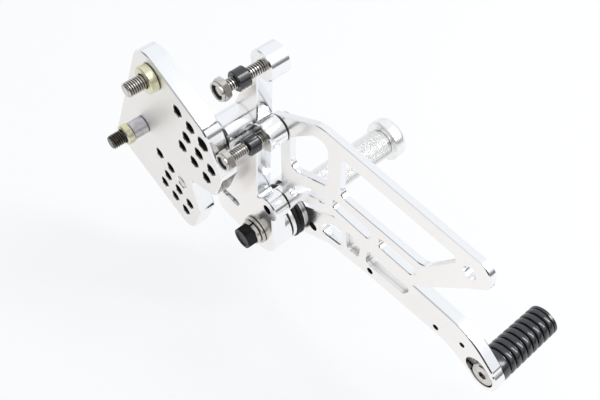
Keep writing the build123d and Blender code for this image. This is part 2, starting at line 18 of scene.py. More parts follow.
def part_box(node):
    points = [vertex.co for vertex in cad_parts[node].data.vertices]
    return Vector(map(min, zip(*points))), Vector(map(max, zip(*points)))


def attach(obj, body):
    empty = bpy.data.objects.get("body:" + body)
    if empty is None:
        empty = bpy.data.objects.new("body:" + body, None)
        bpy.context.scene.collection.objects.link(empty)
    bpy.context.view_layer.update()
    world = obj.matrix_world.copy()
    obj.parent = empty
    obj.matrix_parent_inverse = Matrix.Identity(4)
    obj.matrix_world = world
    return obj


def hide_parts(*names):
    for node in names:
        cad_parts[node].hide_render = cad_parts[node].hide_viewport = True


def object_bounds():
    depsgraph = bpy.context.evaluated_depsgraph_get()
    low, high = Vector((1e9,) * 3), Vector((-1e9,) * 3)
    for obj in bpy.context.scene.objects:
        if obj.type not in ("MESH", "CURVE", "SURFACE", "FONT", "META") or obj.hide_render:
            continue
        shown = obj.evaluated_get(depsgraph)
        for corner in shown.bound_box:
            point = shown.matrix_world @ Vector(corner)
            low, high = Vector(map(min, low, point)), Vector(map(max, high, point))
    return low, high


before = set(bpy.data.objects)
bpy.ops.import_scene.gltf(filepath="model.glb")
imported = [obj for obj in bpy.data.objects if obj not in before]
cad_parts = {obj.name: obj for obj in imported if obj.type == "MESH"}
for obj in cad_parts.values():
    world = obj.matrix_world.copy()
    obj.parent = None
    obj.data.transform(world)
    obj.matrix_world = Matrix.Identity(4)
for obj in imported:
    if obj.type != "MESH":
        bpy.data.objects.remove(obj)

MM = 0.001
QUARTER_TURN = math.radians(90)
cad_low, cad_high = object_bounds()
print("nodes:", len(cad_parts), "box:", [round(side / MM, 1) for side in cad_high - cad_low])

# %% [markdown]
# ## Camera
#
# The view looks down on the inner face of the set from the toe's side. The angles
# were found by lining up the round holes and the parallel bolts. A longer lens would
# flatten the plates and a shorter one would swell the toe peg.

# %% Camera at the photograph's angle
VIEW_AZIMUTH = math.radians(49.0)
VIEW_ELEVATION = math.radians(53.0)
CAMERA_PLACE = [value * MM for value in (220.829, -158.138, 386.891)]
SENSOR_WIDTH = 36.0
LENS = 48.0
NEAREST_SEEN = 0.01

bpy.ops.object.camera_add(
    location=CAMERA_PLACE,
    rotation=(QUARTER_TURN - VIEW_ELEVATION, 0, VIEW_AZIMUTH),
)
camera = bpy.context.object
camera.data.sensor_width = SENSOR_WIDTH
camera.data.lens = LENS
camera.data.clip_start = NEAREST_SEEN
bpy.context.scene.camera = camera
bpy.context.scene.view_settings.view_transform = "Standard"
print("camera:", [round(value, 3) for value in camera.location])

# %% [markdown]
# ## Colours and nodes
#
# Colours are written as sRGB hex values, the way a paint chart gives them, and one
# function turns them to the linear numbers that shaders use. A second one adds a
# node, sets it and wires it, which keeps each finish down to a few lines. A third
# turns the real size of a grain or a line into a texture's scale.
#
# Some sockets share a name, so they are given by number. Map Range reads 0, between
# 1 and 2, and gives what lies between 3 and 4. Mix takes the share at 0, colours at 6
# and 7, and plain numbers at 2 and 3.


# %% Three helpers for finishes
def linear(code):
    """Linear RGBA of an sRGB hex colour, by the standard's own curve."""
    parts = [int(code[place:place + 2], 16) / 255 for place in (1, 3, 5)]
    return [p / 12.92 if p <= 0.04045 else ((p + 0.055) / 1.055) ** 2.4 for p in parts] + [1.0]


def add(tree, kind, inputs=(), **settings):
    """One node with its settings, and its sockets set or linked."""
    made = tree.nodes.new(kind)
    for name, value in settings.items():
        setattr(made, name, value)
    for socket, value in dict(inputs).items():
        if isinstance(value, bpy.types.NodeSocket):
            tree.links.new(value, made.inputs[socket])
        else:
            made.inputs[socket].default_value = value
    return made


def scale_of(size_mm):
    """Texture scale for a feature of this size, on coordinates in metres."""
    return 1 / (size_mm * MM)


print("mid grey in linear light:", [round(part, 3) for part in linear("#808080")])

# %% [markdown]
# ## Room
#
# Polished metal has no colour of its own to speak of: it shows the room. So the room
# matters as much as the finish. A white ceiling fills the mirror-like faces, the right
# wall is grey, and the dim side from which the set is looked at draws grey lines along
# the chamfers. Only mirrored rays see these parts. Diffuse light comes from the same
# room as one plain even level, and the camera sees white behind the set.

# %% Bright room with a dim near side
ROOM_WHITE = "#FFFFFF"
ROOM_CEILING = "#FBFDFF"
ROOM_LEFT = "#EEF0F3"
ROOM_RIGHT = "#7E7D7B"
ROOM_DIM = "#2E2F33"
ROOM_FILL = 0.77
# Each part of the room: the axis it goes by, where it fades in and where it is full.
ROOM_PARTS = {
    "low": ("Z", 0.42, 0.12),
    "below": ("Z", 0.60, 0.25),
    "near": ("Y", -0.35, -0.75),
    "right": ("X", -0.3, 0.5),
}

world = bpy.data.worlds.new("bright_room")
bpy.context.scene.world = world
world.use_nodes = True
room = world.node_tree
room.nodes.clear()
towards = add(room, "ShaderNodeTexCoord")
split = add(room, "ShaderNodeSeparateXYZ", {0: towards.outputs["Generated"]})
share = {}
for part, (axis, start, full) in ROOM_PARTS.items():
    fade = add(room, "ShaderNodeMapRange", {0: split.outputs[axis], 1: start, 2: full},
               interpolation_type="SMOOTHSTEP")
    share[part] = fade.outputs[0]
sides = add(room, "ShaderNodeMix",
            {0: share["right"], 6: linear(ROOM_LEFT), 7: linear(ROOM_RIGHT)}, data_type="RGBA")
around = add(room, "ShaderNodeMix",
             {0: share["low"], 6: linear(ROOM_CEILING), 7: sides.outputs[2]}, data_type="RGBA")
dim = add(room, "ShaderNodeMath", {0: share["near"], 1: share["below"]}, operation="MULTIPLY")
seen = add(room, "ShaderNodeMix",
           {0: dim.outputs[0], 6: around.outputs[2], 7: linear(ROOM_DIM)}, data_type="RGBA")
rays = add(room, "ShaderNodeLightPath")
mirrored = add(room, "ShaderNodeMath",
               {0: rays.outputs["Is Glossy Ray"], 1: rays.outputs["Is Transmission Ray"]},
               operation="MAXIMUM")
fill = add(room, "ShaderNodeBackground", {0: linear(ROOM_WHITE), 1: ROOM_FILL})
mirror = add(room, "ShaderNodeBackground", {0: seen.outputs[2]})
backdrop = add(room, "ShaderNodeBackground", {0: linear(ROOM_WHITE)})
lit = add(room, "ShaderNodeMixShader",
          {0: mirrored.outputs[0], 1: fill.outputs[0], 2: mirror.outputs[0]})
shown = add(room, "ShaderNodeMixShader",
            {0: rays.outputs["Is Camera Ray"], 1: lit.outputs[0], 2: backdrop.outputs[0]})
add(room, "ShaderNodeOutputWorld", {0: shown.outputs[0]})
print("room:", world.name, len(room.nodes), "nodes")

# %% [markdown]
# ## Table
#
# The set is shown above a white table, which lies low enough for the pedal to swing
# all the way down. Such a table is lit until it burns out to white. Here a glow that
# only the camera and mirrored rays see lifts it, so it lights nothing from below.

# %% White table below the pedal's travel
FLOOR_SIZE = 6.0
FLOOR_COLOUR = "#999B9D"
FLOOR_LIFT = 0.67
# The pedal's lower limit, and room for the toe peg under the pedal's tip.
PEDAL_DROP = math.radians(20)
TOE_ROOM = 14.0

floor_height = -cad_high.x * math.sin(PEDAL_DROP) - TOE_ROOM * MM
bpy.ops.object.select_all(action="DESELECT")
bpy.ops.mesh.primitive_plane_add(size=FLOOR_SIZE, location=(0, 0, floor_height))
floor = bpy.context.object
floor.name = "floor"
floor_finish = bpy.data.materials.new("white_table")
floor_finish.use_nodes = True
floor_tree = floor_finish.node_tree
floor_tree.nodes.clear()
table = add(floor_tree, "ShaderNodeBsdfDiffuse", {"Color": linear(FLOOR_COLOUR)})
floor_rays = add(floor_tree, "ShaderNodeLightPath")
viewed = add(floor_tree, "ShaderNodeMath",
             {0: floor_rays.outputs["Is Camera Ray"], 1: floor_rays.outputs["Is Glossy Ray"]},
             operation="MAXIMUM")
lift = add(floor_tree, "ShaderNodeMath", {0: viewed.outputs[0], 1: FLOOR_LIFT},
           operation="MULTIPLY")
glow = add(floor_tree, "ShaderNodeEmission",
           {"Color": linear(ROOM_WHITE), "Strength": lift.outputs[0]})
both = add(floor_tree, "ShaderNodeAddShader", {0: table.outputs[0], 1: glow.outputs[0]})
add(floor_tree, "ShaderNodeOutputMaterial", {"Surface": both.outputs[0]})
floor.data.materials.append(floor_finish)
print("floor at", round(floor_height / MM, 2), "mm")

# %% [markdown]
# ## Lamp
#
# One strip lamp, high on the right, puts a long streak on black and round pieces. It
# faces the set, and its long side follows a chosen way, made square to that facing.

# %% Strip lamp
LAMP_POWER = 6.2
LAMP_LENGTH = 1.05
LAMP_WIDTH = 0.16
LAMP_PLACE = (0.67, 0.68, 1.02)
LAMP_WAY = (0.44, 0.22, -0.37)

bpy.ops.object.light_add(type="AREA", location=LAMP_PLACE)
lamp = bpy.context.object
lamp.data.shape = "RECTANGLE"
lamp.data.energy = LAMP_POWER
lamp.data.size = LAMP_LENGTH
lamp.data.size_y = LAMP_WIDTH
lamp_back = lamp.location.normalized()
lamp_along = Vector(LAMP_WAY)
lamp_along = (lamp_along - lamp_along.dot(lamp_back) * lamp_back).normalized()
lamp_axes = Matrix((lamp_along, lamp_back.cross(lamp_along), lamp_back))
lamp.rotation_euler = lamp_axes.transposed().to_euler()
print("lamp:", LAMP_POWER, "W,", LAMP_LENGTH, "by", LAMP_WIDTH, "m")

# %% [markdown]
# ## Milled and blasted aluminium
#
# Base plate, bracket, guard and pedal are aluminium plate, milled, bead-blasted and
# clear anodised. The blast leaves a fine even grain that softens reflections on the
# flat faces. The walls that the end mill cut, and the chamfers, stay smoother and
# mirror the room. An occlusion node paints shade into recesses and the joints between
# plates, and less of it on the pedal, whose pockets stay pale. The grain is really
# about 0.05 mm, too fine to show, so it is drawn several times coarser.

# %% Satin alloy with bright walls and chamfers
# Sizes of the blast grain, of clouds in the anodising and of the end mill's lines.
BLAST_GRAIN = 0.35
MOTTLE = 14.0
MILL_LINE = 0.9
# How far the painted corner shade reaches, and the shares of open air at which it is full and
# gone.
CORNER_SHADE_REACH = 7.0
CORNER_SHADE_SPAN = (0.12, 0.58)
HOLLOW_SAMPLES = 8
# A surface is a wall up to the first share of its normal along Y, a face from the second.
FACE_SPAN = (0.8, 0.95)
FACE_TINTS = ("#F8F5F2", "#FCFAF8")
WALL_TINT = "#F5F6F8"
WALL_ROUGH = (0.10, 0.17)
# Most values of a noise texture lie between these.
NOISE_SPAN = (0.3, 0.7)
BUMP_STRENGTH = 0.05
BUMP_HEIGHT = 0.05


def satin_alloy(name, face_rough, corner_shade):
    """Blasted plate: grainy on its faces, smoother on walls and chamfers, painted shade in
    corners.
    """
    finish = bpy.data.materials.new(name)
    finish.use_nodes = True
    tree = finish.node_tree
    shader = tree.nodes["Principled BSDF"]
    place = add(tree, "ShaderNodeTexCoord").outputs["Object"]
    surface = add(tree, "ShaderNodeNewGeometry")
    way = add(tree, "ShaderNodeSeparateXYZ", {0: surface.outputs["True Normal"]})
    slant = add(tree, "ShaderNodeMath", {0: way.outputs["Y"]}, operation="ABSOLUTE")
    flat = add(tree, "ShaderNodeMapRange", {0: slant.outputs[0], 1: FACE_SPAN[0], 2: FACE_SPAN[1]})
    grain = add(tree, "ShaderNodeTexNoise",
                {"Vector": place, "Scale": scale_of(BLAST_GRAIN), "Detail": 2.0})
    mottle = add(tree, "ShaderNodeTexNoise",
                 {"Vector": place, "Scale": scale_of(MOTTLE), "Detail": 3.0})
    across = add(tree, "ShaderNodeSeparateXYZ", {0: place})
    mill = add(tree, "ShaderNodeTexNoise",
               {"W": across.outputs["Y"], "Scale": scale_of(MILL_LINE), "Detail": 1.0},
               noise_dimensions="1D")
    tint = add(tree, "ShaderNodeMix",
               {0: mottle.outputs[0], 6: linear(FACE_TINTS[0]), 7: linear(FACE_TINTS[1])},
               data_type="RGBA")
    unshaded = add(tree, "ShaderNodeMix",
                {0: flat.outputs[0], 6: linear(WALL_TINT), 7: tint.outputs[2]}, data_type="RGBA")
    # Painted shade: occlusion darkens corners and joints towards the shade tint.
    hollow = add(tree, "ShaderNodeAmbientOcclusion", {"Distance": CORNER_SHADE_REACH * MM},
                 samples=HOLLOW_SAMPLES)
    open_share = add(tree, "ShaderNodeMapRange",
                     {0: hollow.outputs["AO"], 1: CORNER_SHADE_SPAN[0], 2: CORNER_SHADE_SPAN[1]})
    colour = add(tree, "ShaderNodeMix",
                 {0: open_share.outputs[0], 6: linear(corner_shade), 7: unshaded.outputs[2]},
                 data_type="RGBA")
    matt = add(tree, "ShaderNodeMapRange",
               {0: grain.outputs[0], 1: NOISE_SPAN[0], 2: NOISE_SPAN[1],
                3: face_rough[0], 4: face_rough[1]})
    smooth = add(tree, "ShaderNodeMapRange",
                 {0: mill.outputs[0], 1: NOISE_SPAN[0], 2: NOISE_SPAN[1],
                  3: WALL_ROUGH[0], 4: WALL_ROUGH[1]})
    rough = add(tree, "ShaderNodeMix",
                {0: flat.outputs[0], 2: smooth.outputs[0], 3: matt.outputs[0]}, data_type="FLOAT")
    bump = add(tree, "ShaderNodeBump",
               {"Height": grain.outputs[0], "Strength": BUMP_STRENGTH,
                "Distance": BUMP_HEIGHT * MM})
    tree.links.new(colour.outputs[2], shader.inputs["Base Color"])
    tree.links.new(rough.outputs[0], shader.inputs["Roughness"])
    tree.links.new(bump.outputs[0], shader.inputs["Normal"])
    shader.inputs["Metallic"].default_value = 1.0
    return finish


# Fine blast: silky faces that still mirror bright and dark, and dark painted shade in the corners.
SATIN = satin_alloy("satin_blasted_aluminium", (0.18, 0.26), "#4C4B4A")
# The same blast with a pale painted shade: only the deepest corners are darker.
SATIN_PALE_SHADE = satin_alloy("satin_aluminium_pale_shade", (0.18, 0.26), "#A3A19F")
# Coarse blast: a flat pale grey that mirrors nothing in particular, with faint painted shade in
# corners.
MATT = satin_alloy("coarse_blasted_aluminium", (0.42, 0.52), "#D2D0CE")
print("finishes:", SATIN.name, SATIN_PALE_SHADE.name, MATT.name)

# %% [markdown]
# ## Turned and plated metals
#
# Everything round was made on a lathe, whose tool leaves fine rings across the axis,
# and then plated, oxidised or anodised. One recipe covers them: two close tints that
# a soft stain mixes, a darker third painted as shade in thread roots and grooves, and
# a roughness that follows the tool's rings along Y. The real rings are about 0.1 mm
# apart, so they are drawn wider.

# %% One recipe for turned pieces
STAIN = 2.5
STAIN_SPAN = (0.35, 0.65)
TOOL_RING = 0.45
# Width of a root that gets painted shade, the shares of open air at which the shade is full
# and gone, and what is left there of the first tint.
ROOT_SHADE_REACH = 1.6
ROOT_SHADE_SPAN = (0.25, 0.80)
ROOT_SHADE_LEVEL = 0.12


def turned_finish(name, tints, rough, metallic=1.0, specular=0.5):
    """Lathe-turned surface with stains, tool rings and painted shade in its roots."""
    finish = bpy.data.materials.new(name)
    finish.use_nodes = True
    tree = finish.node_tree
    shader = tree.nodes["Principled BSDF"]
    place = add(tree, "ShaderNodeTexCoord").outputs["Object"]
    across = add(tree, "ShaderNodeSeparateXYZ", {0: place})
    stain = add(tree, "ShaderNodeTexNoise",
                {"Vector": place, "Scale": scale_of(STAIN), "Detail": 4.0})
    tool = add(tree, "ShaderNodeTexNoise",
               {"W": across.outputs["Y"], "Scale": scale_of(TOOL_RING), "Detail": 2.0},
               noise_dimensions="1D")
    blend = add(tree, "ShaderNodeMapRange",
                {0: stain.outputs[0], 1: STAIN_SPAN[0], 2: STAIN_SPAN[1]})
    plain = add(tree, "ShaderNodeMix",
                {0: blend.outputs[0], 6: linear(tints[0]), 7: linear(tints[1])}, data_type="RGBA")
    # Painted shade: occlusion darkens thread roots and grooves to a dark copy of the first tint.
    hollow = add(tree, "ShaderNodeAmbientOcclusion", {"Distance": ROOT_SHADE_REACH * MM},
                 samples=HOLLOW_SAMPLES)
    open_share = add(tree, "ShaderNodeMapRange",
                     {0: hollow.outputs["AO"], 1: ROOT_SHADE_SPAN[0], 2: ROOT_SHADE_SPAN[1]})
    root = [part * ROOT_SHADE_LEVEL for part in linear(tints[0])[:3]] + [1.0]
    colour = add(tree, "ShaderNodeMix", {0: open_share.outputs[0], 6: root, 7: plain.outputs[2]},
                 data_type="RGBA")
    matt = add(tree, "ShaderNodeMapRange",
               {0: tool.outputs[0], 1: NOISE_SPAN[0], 2: NOISE_SPAN[1], 3: rough[0], 4: rough[1]})
    bump = add(tree, "ShaderNodeBump",
               {"Height": tool.outputs[0], "Strength": BUMP_STRENGTH,
                "Distance": BUMP_HEIGHT * MM})
    tree.links.new(colour.outputs[2], shader.inputs["Base Color"])
    tree.links.new(matt.outputs[0], shader.inputs["Roughness"])
    tree.links.new(bump.outputs[0], shader.inputs["Normal"])
    shader.inputs["Metallic"].default_value = metallic
    shader.inputs["Specular IOR Level"].default_value = specular
    return finish


print("turned recipe ready")

# %% [markdown]
# ## The turned finishes
#
# Each line below is one bath or one bar of stock, or the painted shade of a deep hole:
# two tints, the span of roughness, and for dyed, oxidised or plastic skins how far they
# are metal and how much they shine. Skins that hide the metal are given as no metal at all.

# %% Plated, dyed and plain finishes
# Bright aluminium bar: pale, with a soft sheen along the axis.
TURNED_ALLOY = turned_finish("turned_aluminium", ("#F2F1F0", "#FAFAFA"), (0.24, 0.34))
# Nickel-plated steel: a little darker and warmer than aluminium.
PLATED_STEEL = turned_finish("nickel_plated_steel", ("#C2BEB8", "#DAD7D2"), (0.14, 0.26))
# Brown-grey steel, darker than the plated stud, with painted shade in the roots between the
# threads.
DARK_STUD_STEEL = turned_finish("brown_grey_steel", ("#4C4741", "#7C776F"), (0.26, 0.40))
# Yellow chromate on zinc: straw to green, uneven as the bath left it.
YELLOW_ZINC = turned_finish("yellow_chromate_zinc", ("#DCDAAE", "#EAE8D4"), (0.26, 0.42))
# Aluminium tube in a violet grey, darker than the bright bar, with a dull sheen.
VIOLET_GREY_ALLOY = turned_finish("violet_grey_aluminium", ("#C2BFC8", "#D6D4DA"), (0.34, 0.44))
# Black anodised aluminium: a dye in a clear glassy skin, so it shines like lacquer.
BLACK_ALLOY = turned_finish("black_anodised_aluminium", ("#0C0F18", "#171B26"), (0.17, 0.24),
                            metallic=0.0, specular=0.9)
# Black oxide on steel: a thin dark skin that the metal's shine comes through.
BLACK_STEEL = turned_finish("black_oxide_steel", ("#1C1C1F", "#2A2A2D"), (0.30, 0.42),
                            metallic=0.5)
# Nitrile rubber: dull black, with hardly a highlight.
SEAL_RUBBER = turned_finish("nitrile_rubber", ("#0A0A0A", "#131313"), (0.50, 0.62),
                            metallic=0.0, specular=0.4)
# Bearing bronze: warm brown metal, hidden inside the hub.
BRONZE = turned_finish("bearing_bronze", ("#8F6C3F", "#A8844F"), (0.28, 0.40))
# Painted hole shade: nearly black and dull, so a hole reads as deep.
HOLE_SHADE_BLACK = turned_finish("painted_hole_shade", ("#171614", "#24221F"), (0.42, 0.55),
                             metallic=0.0, specular=0.4)
# Nylon ring of a lock nut: a dark, soft-looking ring inside the bright lip.
NYLON = turned_finish("dark_nylon", ("#15171B", "#23262C"), (0.42, 0.55), metallic=0.0)
print("materials so far:", len(bpy.data.materials))

# %% [markdown]
# ## Dress the solids
#
# A plating shop sorts parts by bath, and so does this list: under each finish stand
# the solids that get it. Solids that a modelled piece replaces further on are dressed
# too, so the plain set looks right by itself.

# %% Dress the nodes
DRESSING = {
    SATIN: ["main_bracket", "heel_guard"],
    SATIN_PALE_SHADE: ["pedal"],
    MATT: ["base_plate"],
    TURNED_ALLOY: ["foot_peg", "hub_shim"],
    PLATED_STEEL: ["guard_screw", "bracket_bolt_upper", "bracket_bolt_lower", "toe_screw",
                   "pivot_washer", "pivot_spring_washer", "pivot_sleeve",
                   "cylinder_bolt_upper", "cylinder_bolt_lower",
                   "cylinder_nut_upper", "cylinder_nut_lower"],
    DARK_STUD_STEEL: ["frame_bolt_upper", "frame_bolt_lower"],
    YELLOW_ZINC: ["frame_collar_upper", "frame_collar_lower"],
    VIOLET_GREY_ALLOY: ["frame_spacer_lower"],
    BLACK_ALLOY: ["cylinder_collar_upper", "cylinder_collar_lower", "toe_peg"],
    BLACK_STEEL: ["pivot_bolt"],
    SEAL_RUBBER: ["hub_collar"],
    BRONZE: ["hub_bush_inner", "hub_bush_outer"],
}
for finish, names in DRESSING.items():
    for name in names:
        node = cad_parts[name]
        node.data.materials.clear()
        node.data.materials.append(finish)
dressed = sum(len(names) for names in DRESSING.values())
print("dressed", dressed, "of", len(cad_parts), "nodes")

# %% [markdown]
# ## Tools for turned pieces
#
# A lathe part is a profile swept about an axis. The profile starts as a plane that is
# merged to one point, and is drawn by extruding that point from corner to corner. The
# spin operator then sweeps it about Y.

# %% Draw and turn
# Points closer than this become one.
WELD = 0.002
TURN_STEPS = 48
ROUND_SEGMENTS = 3


def select_only(piece):
    """Make one piece the selected and active object."""
    bpy.ops.object.select_all(action="DESELECT")
    piece.select_set(True)
    bpy.context.view_layer.objects.active = piece


def draw_profile(name, points):
    """New object with a chain of edges through (radius, y) points in millimetres."""
    bpy.ops.object.select_all(action="DESELECT")
    bpy.ops.mesh.primitive_plane_add(size=MM)
    piece = bpy.context.object
    piece.name = name
    bpy.ops.object.mode_set(mode="EDIT")
    bpy.ops.mesh.merge(type="CENTER")
    bpy.ops.transform.translate(value=(points[0][0] * MM, points[0][1] * MM, 0))
    for start, end in zip(points, points[1:]):
        step = ((end[0] - start[0]) * MM, (end[1] - start[1]) * MM, 0)
        bpy.ops.mesh.extrude_region_move(TRANSFORM_OT_translate={"value": step})
    bpy.ops.object.mode_set(mode="OBJECT")
    return piece


def close_mesh(piece):
    """Merge doubles and point every face outwards."""
    select_only(piece)
    bpy.ops.object.mode_set(mode="EDIT")
    bpy.ops.mesh.select_all(action="SELECT")
    bpy.ops.mesh.remove_doubles(threshold=WELD * MM)
    bpy.ops.mesh.normals_make_consistent(inside=False)
    bpy.ops.object.mode_set(mode="OBJECT")


def turn(name, points, steps=TURN_STEPS, rounding=0.0):
    """Solid of revolution about Y, with the profile's corners rounded."""
    piece = draw_profile(name, points)
    bpy.ops.object.mode_set(mode="EDIT")
    bpy.ops.mesh.select_all(action="SELECT")
    bpy.ops.mesh.remove_doubles(threshold=WELD * MM)
    if rounding:
        bpy.ops.mesh.bevel(offset=rounding * MM, segments=ROUND_SEGMENTS, affect="VERTICES",
                           clamp_overlap=True)
        bpy.ops.mesh.select_all(action="SELECT")
    bpy.ops.mesh.spin(steps=steps, angle=math.tau, center=(0, 0, 0), axis=(0, 1, 0))
    bpy.ops.object.mode_set(mode="OBJECT")
    close_mesh(piece)
    return piece


print("lathe ready")

# %% [markdown]
# ## Tools for cutting, joining and placing
#
# Pieces are cut and joined the way a fitter would: repeated, trimmed, drilled and put
# together. Every piece is made about the world's Y axis and moved to its place in edit
# mode at the end, so its object stays at the origin.

# %% Repeat, trim, join and place
# Pieces that are joined reach this far into each other.
OVERLAP = 0.2
SMOOTH_ANGLE = 35


def apply_modifiers(piece):
    """Turn a piece's modifiers into mesh."""
    select_only(piece)
    for modifier in list(piece.modifiers):
        bpy.ops.object.modifier_apply(modifier=modifier.name)


def repeat_along(piece, pitch, count):
    """Array along Y, one pitch apart, with the rows welded."""
    rows = piece.modifiers.new("rows", "ARRAY")
    rows.count = count
    rows.use_relative_offset = False
    rows.use_constant_offset = True
    rows.constant_offset_displace = (0, pitch * MM, 0)
    rows.use_merge_vertices = True
    rows.merge_threshold = WELD * MM


def trim(station, keep_above):
    """In edit mode, cut the mesh at a station, close the cut and drop one side."""
    bpy.ops.mesh.select_all(action="SELECT")
    bpy.ops.mesh.bisect(plane_co=(0, station * MM, 0), plane_no=(0, 1, 0),
                        clear_inner=keep_above, clear_outer=not keep_above, use_fill=True)


def combine(piece, tool, operation):
    """Boolean of a piece with a tool, which is used up."""
    modifier = piece.modifiers.new(operation.lower(), "BOOLEAN")
    modifier.object = tool
    modifier.operation = operation
    apply_modifiers(piece)
    bpy.data.objects.remove(tool)


def join(pieces):
    """One object from several, under the first one's name."""
    bpy.ops.object.select_all(action="DESELECT")
    for piece in pieces:
        piece.select_set(True)
    bpy.context.view_layer.objects.active = pieces[0]
    bpy.ops.object.join()
    return pieces[0]


def shift(piece, move):
    """Move a piece's mesh, not its object."""
    select_only(piece)
    bpy.ops.object.mode_set(mode="EDIT")
    bpy.ops.mesh.select_all(action="SELECT")
    bpy.ops.transform.translate(value=move)
    bpy.ops.object.mode_set(mode="OBJECT")


def axis_of(node):
    """Middle of a turned node's box, across its axis."""
    low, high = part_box(node)
    return Vector(((low[0] + high[0]) / 2, 0, (low[2] + high[2]) / 2))


def span_of(node):
    """First and last station of a node along Y, in millimetres."""
    low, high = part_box(node)
    return low[1] / MM, high[1] / MM


def finish_piece(piece, body, finish, angle=SMOOTH_ANGLE):
    """Dress a finished piece, smooth its rounded faces and hang it on its body."""
    select_only(piece)
    bpy.ops.object.shade_smooth_by_angle(angle=math.radians(angle))
    piece.data.materials.clear()
    piece.data.materials.append(finish)
    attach(piece, body)
    print(piece.name, len(piece.data.polygons), "faces")


print("fitter's tools ready")

# %% [markdown]
# ## Threads and heads
#
# A thread is one tooth, repeated along the bolt by an Array and swept by a Screw
# modifier that climbs one pitch a turn, so each tooth meets the next. A turned
# envelope then cuts the ends and chamfers the tip. A head is a turned disc with a
# hexagon socket cut into it. A hexagon's corner radius is its width across flats over
# the root of three.

# %% Thread and head
# Depth of a thread as a share of its pitch.
THREAD_DEPTH = 0.61
# One tooth from root to root: share of the depth, share of the pitch.
TOOTH = [(0.0, 0.0), (0.0, 0.24), (1.0, 0.5), (1.0, 0.74), (0.0, 1.0)]
# Teeth below the tip, and teeth more than the length needs. Trimming takes them off.
TEETH_BELOW = 2
TEETH_SPARE = 3
THREAD_STEPS = 28
THREAD_TIP = 0.8
ROD_SPARE = 0.3
# The envelope stands off the thread by the first and goes past its end by the second.
ENVELOPE_AIR = 0.2
ENVELOPE_PAST = 1
HEAD_ROUND = 0.5
# Width and depth of a socket as shares of the bolt's size.
SOCKET_RATIO = 0.75
SOCKET_DEPTH = 0.5


def thread(name, radius, pitch, tip, end):
    """Threaded rod along Y with a chamfered tip at its lower end."""
    depth = THREAD_DEPTH * pitch
    root = radius - depth
    rod = draw_profile(name, [(root + height * depth, tip + (along - TEETH_BELOW) * pitch)
                              for height, along in TOOTH])
    repeat_along(rod, pitch, math.ceil((end - tip) / pitch) + TEETH_SPARE)
    sweep = rod.modifiers.new("sweep", "SCREW")
    sweep.axis = "Y"
    sweep.screw_offset = pitch * MM
    sweep.steps = THREAD_STEPS
    sweep.render_steps = THREAD_STEPS
    apply_modifiers(rod)
    close_mesh(rod)
    bpy.ops.object.mode_set(mode="EDIT")
    trim(tip - ROD_SPARE, keep_above=True)
    trim(end, keep_above=False)
    bpy.ops.object.mode_set(mode="OBJECT")
    close_mesh(rod)
    wide = radius + ENVELOPE_AIR
    past = end + ENVELOPE_PAST
    envelope = turn("envelope", [(0, tip), (radius - THREAD_TIP, tip),
                                 (wide, tip + THREAD_TIP + ENVELOPE_AIR), (wide, past), (0, past)])
    combine(rod, envelope, "INTERSECT")
    return rod


def socket_head(name, dia, seat, top, size):
    """Round head between two stations, with a hexagon socket in its top."""
    head = turn(name, [(0, seat), (dia / 2, seat), (dia / 2, top), (0, top)], rounding=HEAD_ROUND)
    depth = size * SOCKET_DEPTH
    bpy.ops.mesh.primitive_cylinder_add(
        vertices=6, radius=size * SOCKET_RATIO / math.sqrt(3) * MM, depth=2 * depth * MM,
        location=(0, top * MM, 0), rotation=(QUARTER_TURN, 0, 0),
    )
    combine(head, bpy.context.object, "DIFFERENCE")
    return head


print("thread and head ready")

# %% [markdown]
# ## Studs and bolts
#
# The studs that go to the motorbike, and the two master cylinder bolts, show their
# threads beyond their collars. Behind its thread a stud is turned down to a shank. The
# lower stud is browner than the upper one, so it is dressed in a darker brown-grey
# steel. The master cylinder bolts have a real pitch of 1 mm, drawn a little coarser to show.

# %% Studs to the frame and master cylinder bolts
SIDES = ("upper", "lower")
FRAME_STUD = {"radius": 4.0, "pitch": 1.25, "head": 12.96, "height": 5.0, "shank": 3.6}
CYLINDER_BOLT = {"radius": 3.0, "pitch": 1.25, "head": 10.5, "height": 3.3}
# A stud's thread stops this far short of its collar.
RUNOUT = 0.5

for side in SIDES:
    node = f"frame_bolt_{side}"
    tip, top = span_of(node)
    seat = top - FRAME_STUD["height"]
    end = span_of(f"frame_collar_{side}")[0] - RUNOUT
    rod = thread(f"frame_stud_{side}", FRAME_STUD["radius"], FRAME_STUD["pitch"], tip, end)
    shank = turn("shank", [(0, end - OVERLAP), (FRAME_STUD["shank"], end - OVERLAP),
                           (FRAME_STUD["shank"], seat + OVERLAP), (0, seat + OVERLAP)])
    head = socket_head("head", FRAME_STUD["head"], seat, top, 2 * FRAME_STUD["radius"])
    stud = join([rod, shank, head])
    shift(stud, axis_of(node))
    finish_piece(stud, "frame", PLATED_STEEL if side == "upper" else DARK_STUD_STEEL)
    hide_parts(node)

for side in SIDES:
    node = f"cylinder_bolt_{side}"
    tip, top = span_of(node)
    seat = top - CYLINDER_BOLT["height"]
    rod = thread(f"cylinder_screw_{side}", CYLINDER_BOLT["radius"], CYLINDER_BOLT["pitch"],
                 tip, seat + OVERLAP)
    head = socket_head("head", CYLINDER_BOLT["head"], seat, top, 2 * CYLINDER_BOLT["radius"])
    screw = join([rod, head])
    shift(screw, axis_of(node))
    finish_piece(screw, "frame", PLATED_STEEL)
    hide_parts(node)

# %% [markdown]
# ## Lock nuts
#
# Each master cylinder bolt carries a lock nut: a hexagon whose corners are turned off
# by a cone, with a thin steel lip curled over a nylon ring. A turned blank is cut by a
# hexagonal bar, and the lip and the ring are turned on their own.

# %% Two lock nuts with curled lips
NUT_FLATS = 10.0
NUT_CHAMFER = 0.45
NUT_BORE = 3.02
# The blank is wider than the hexagon by this, and the bar this many nuts long.
BLANK_SPARE = 0.05
BAR_LENGTHS = 4
LIP_HEIGHT = 1.5
LIP_OUTER = 4.7
LIP_OPENING = 3.75
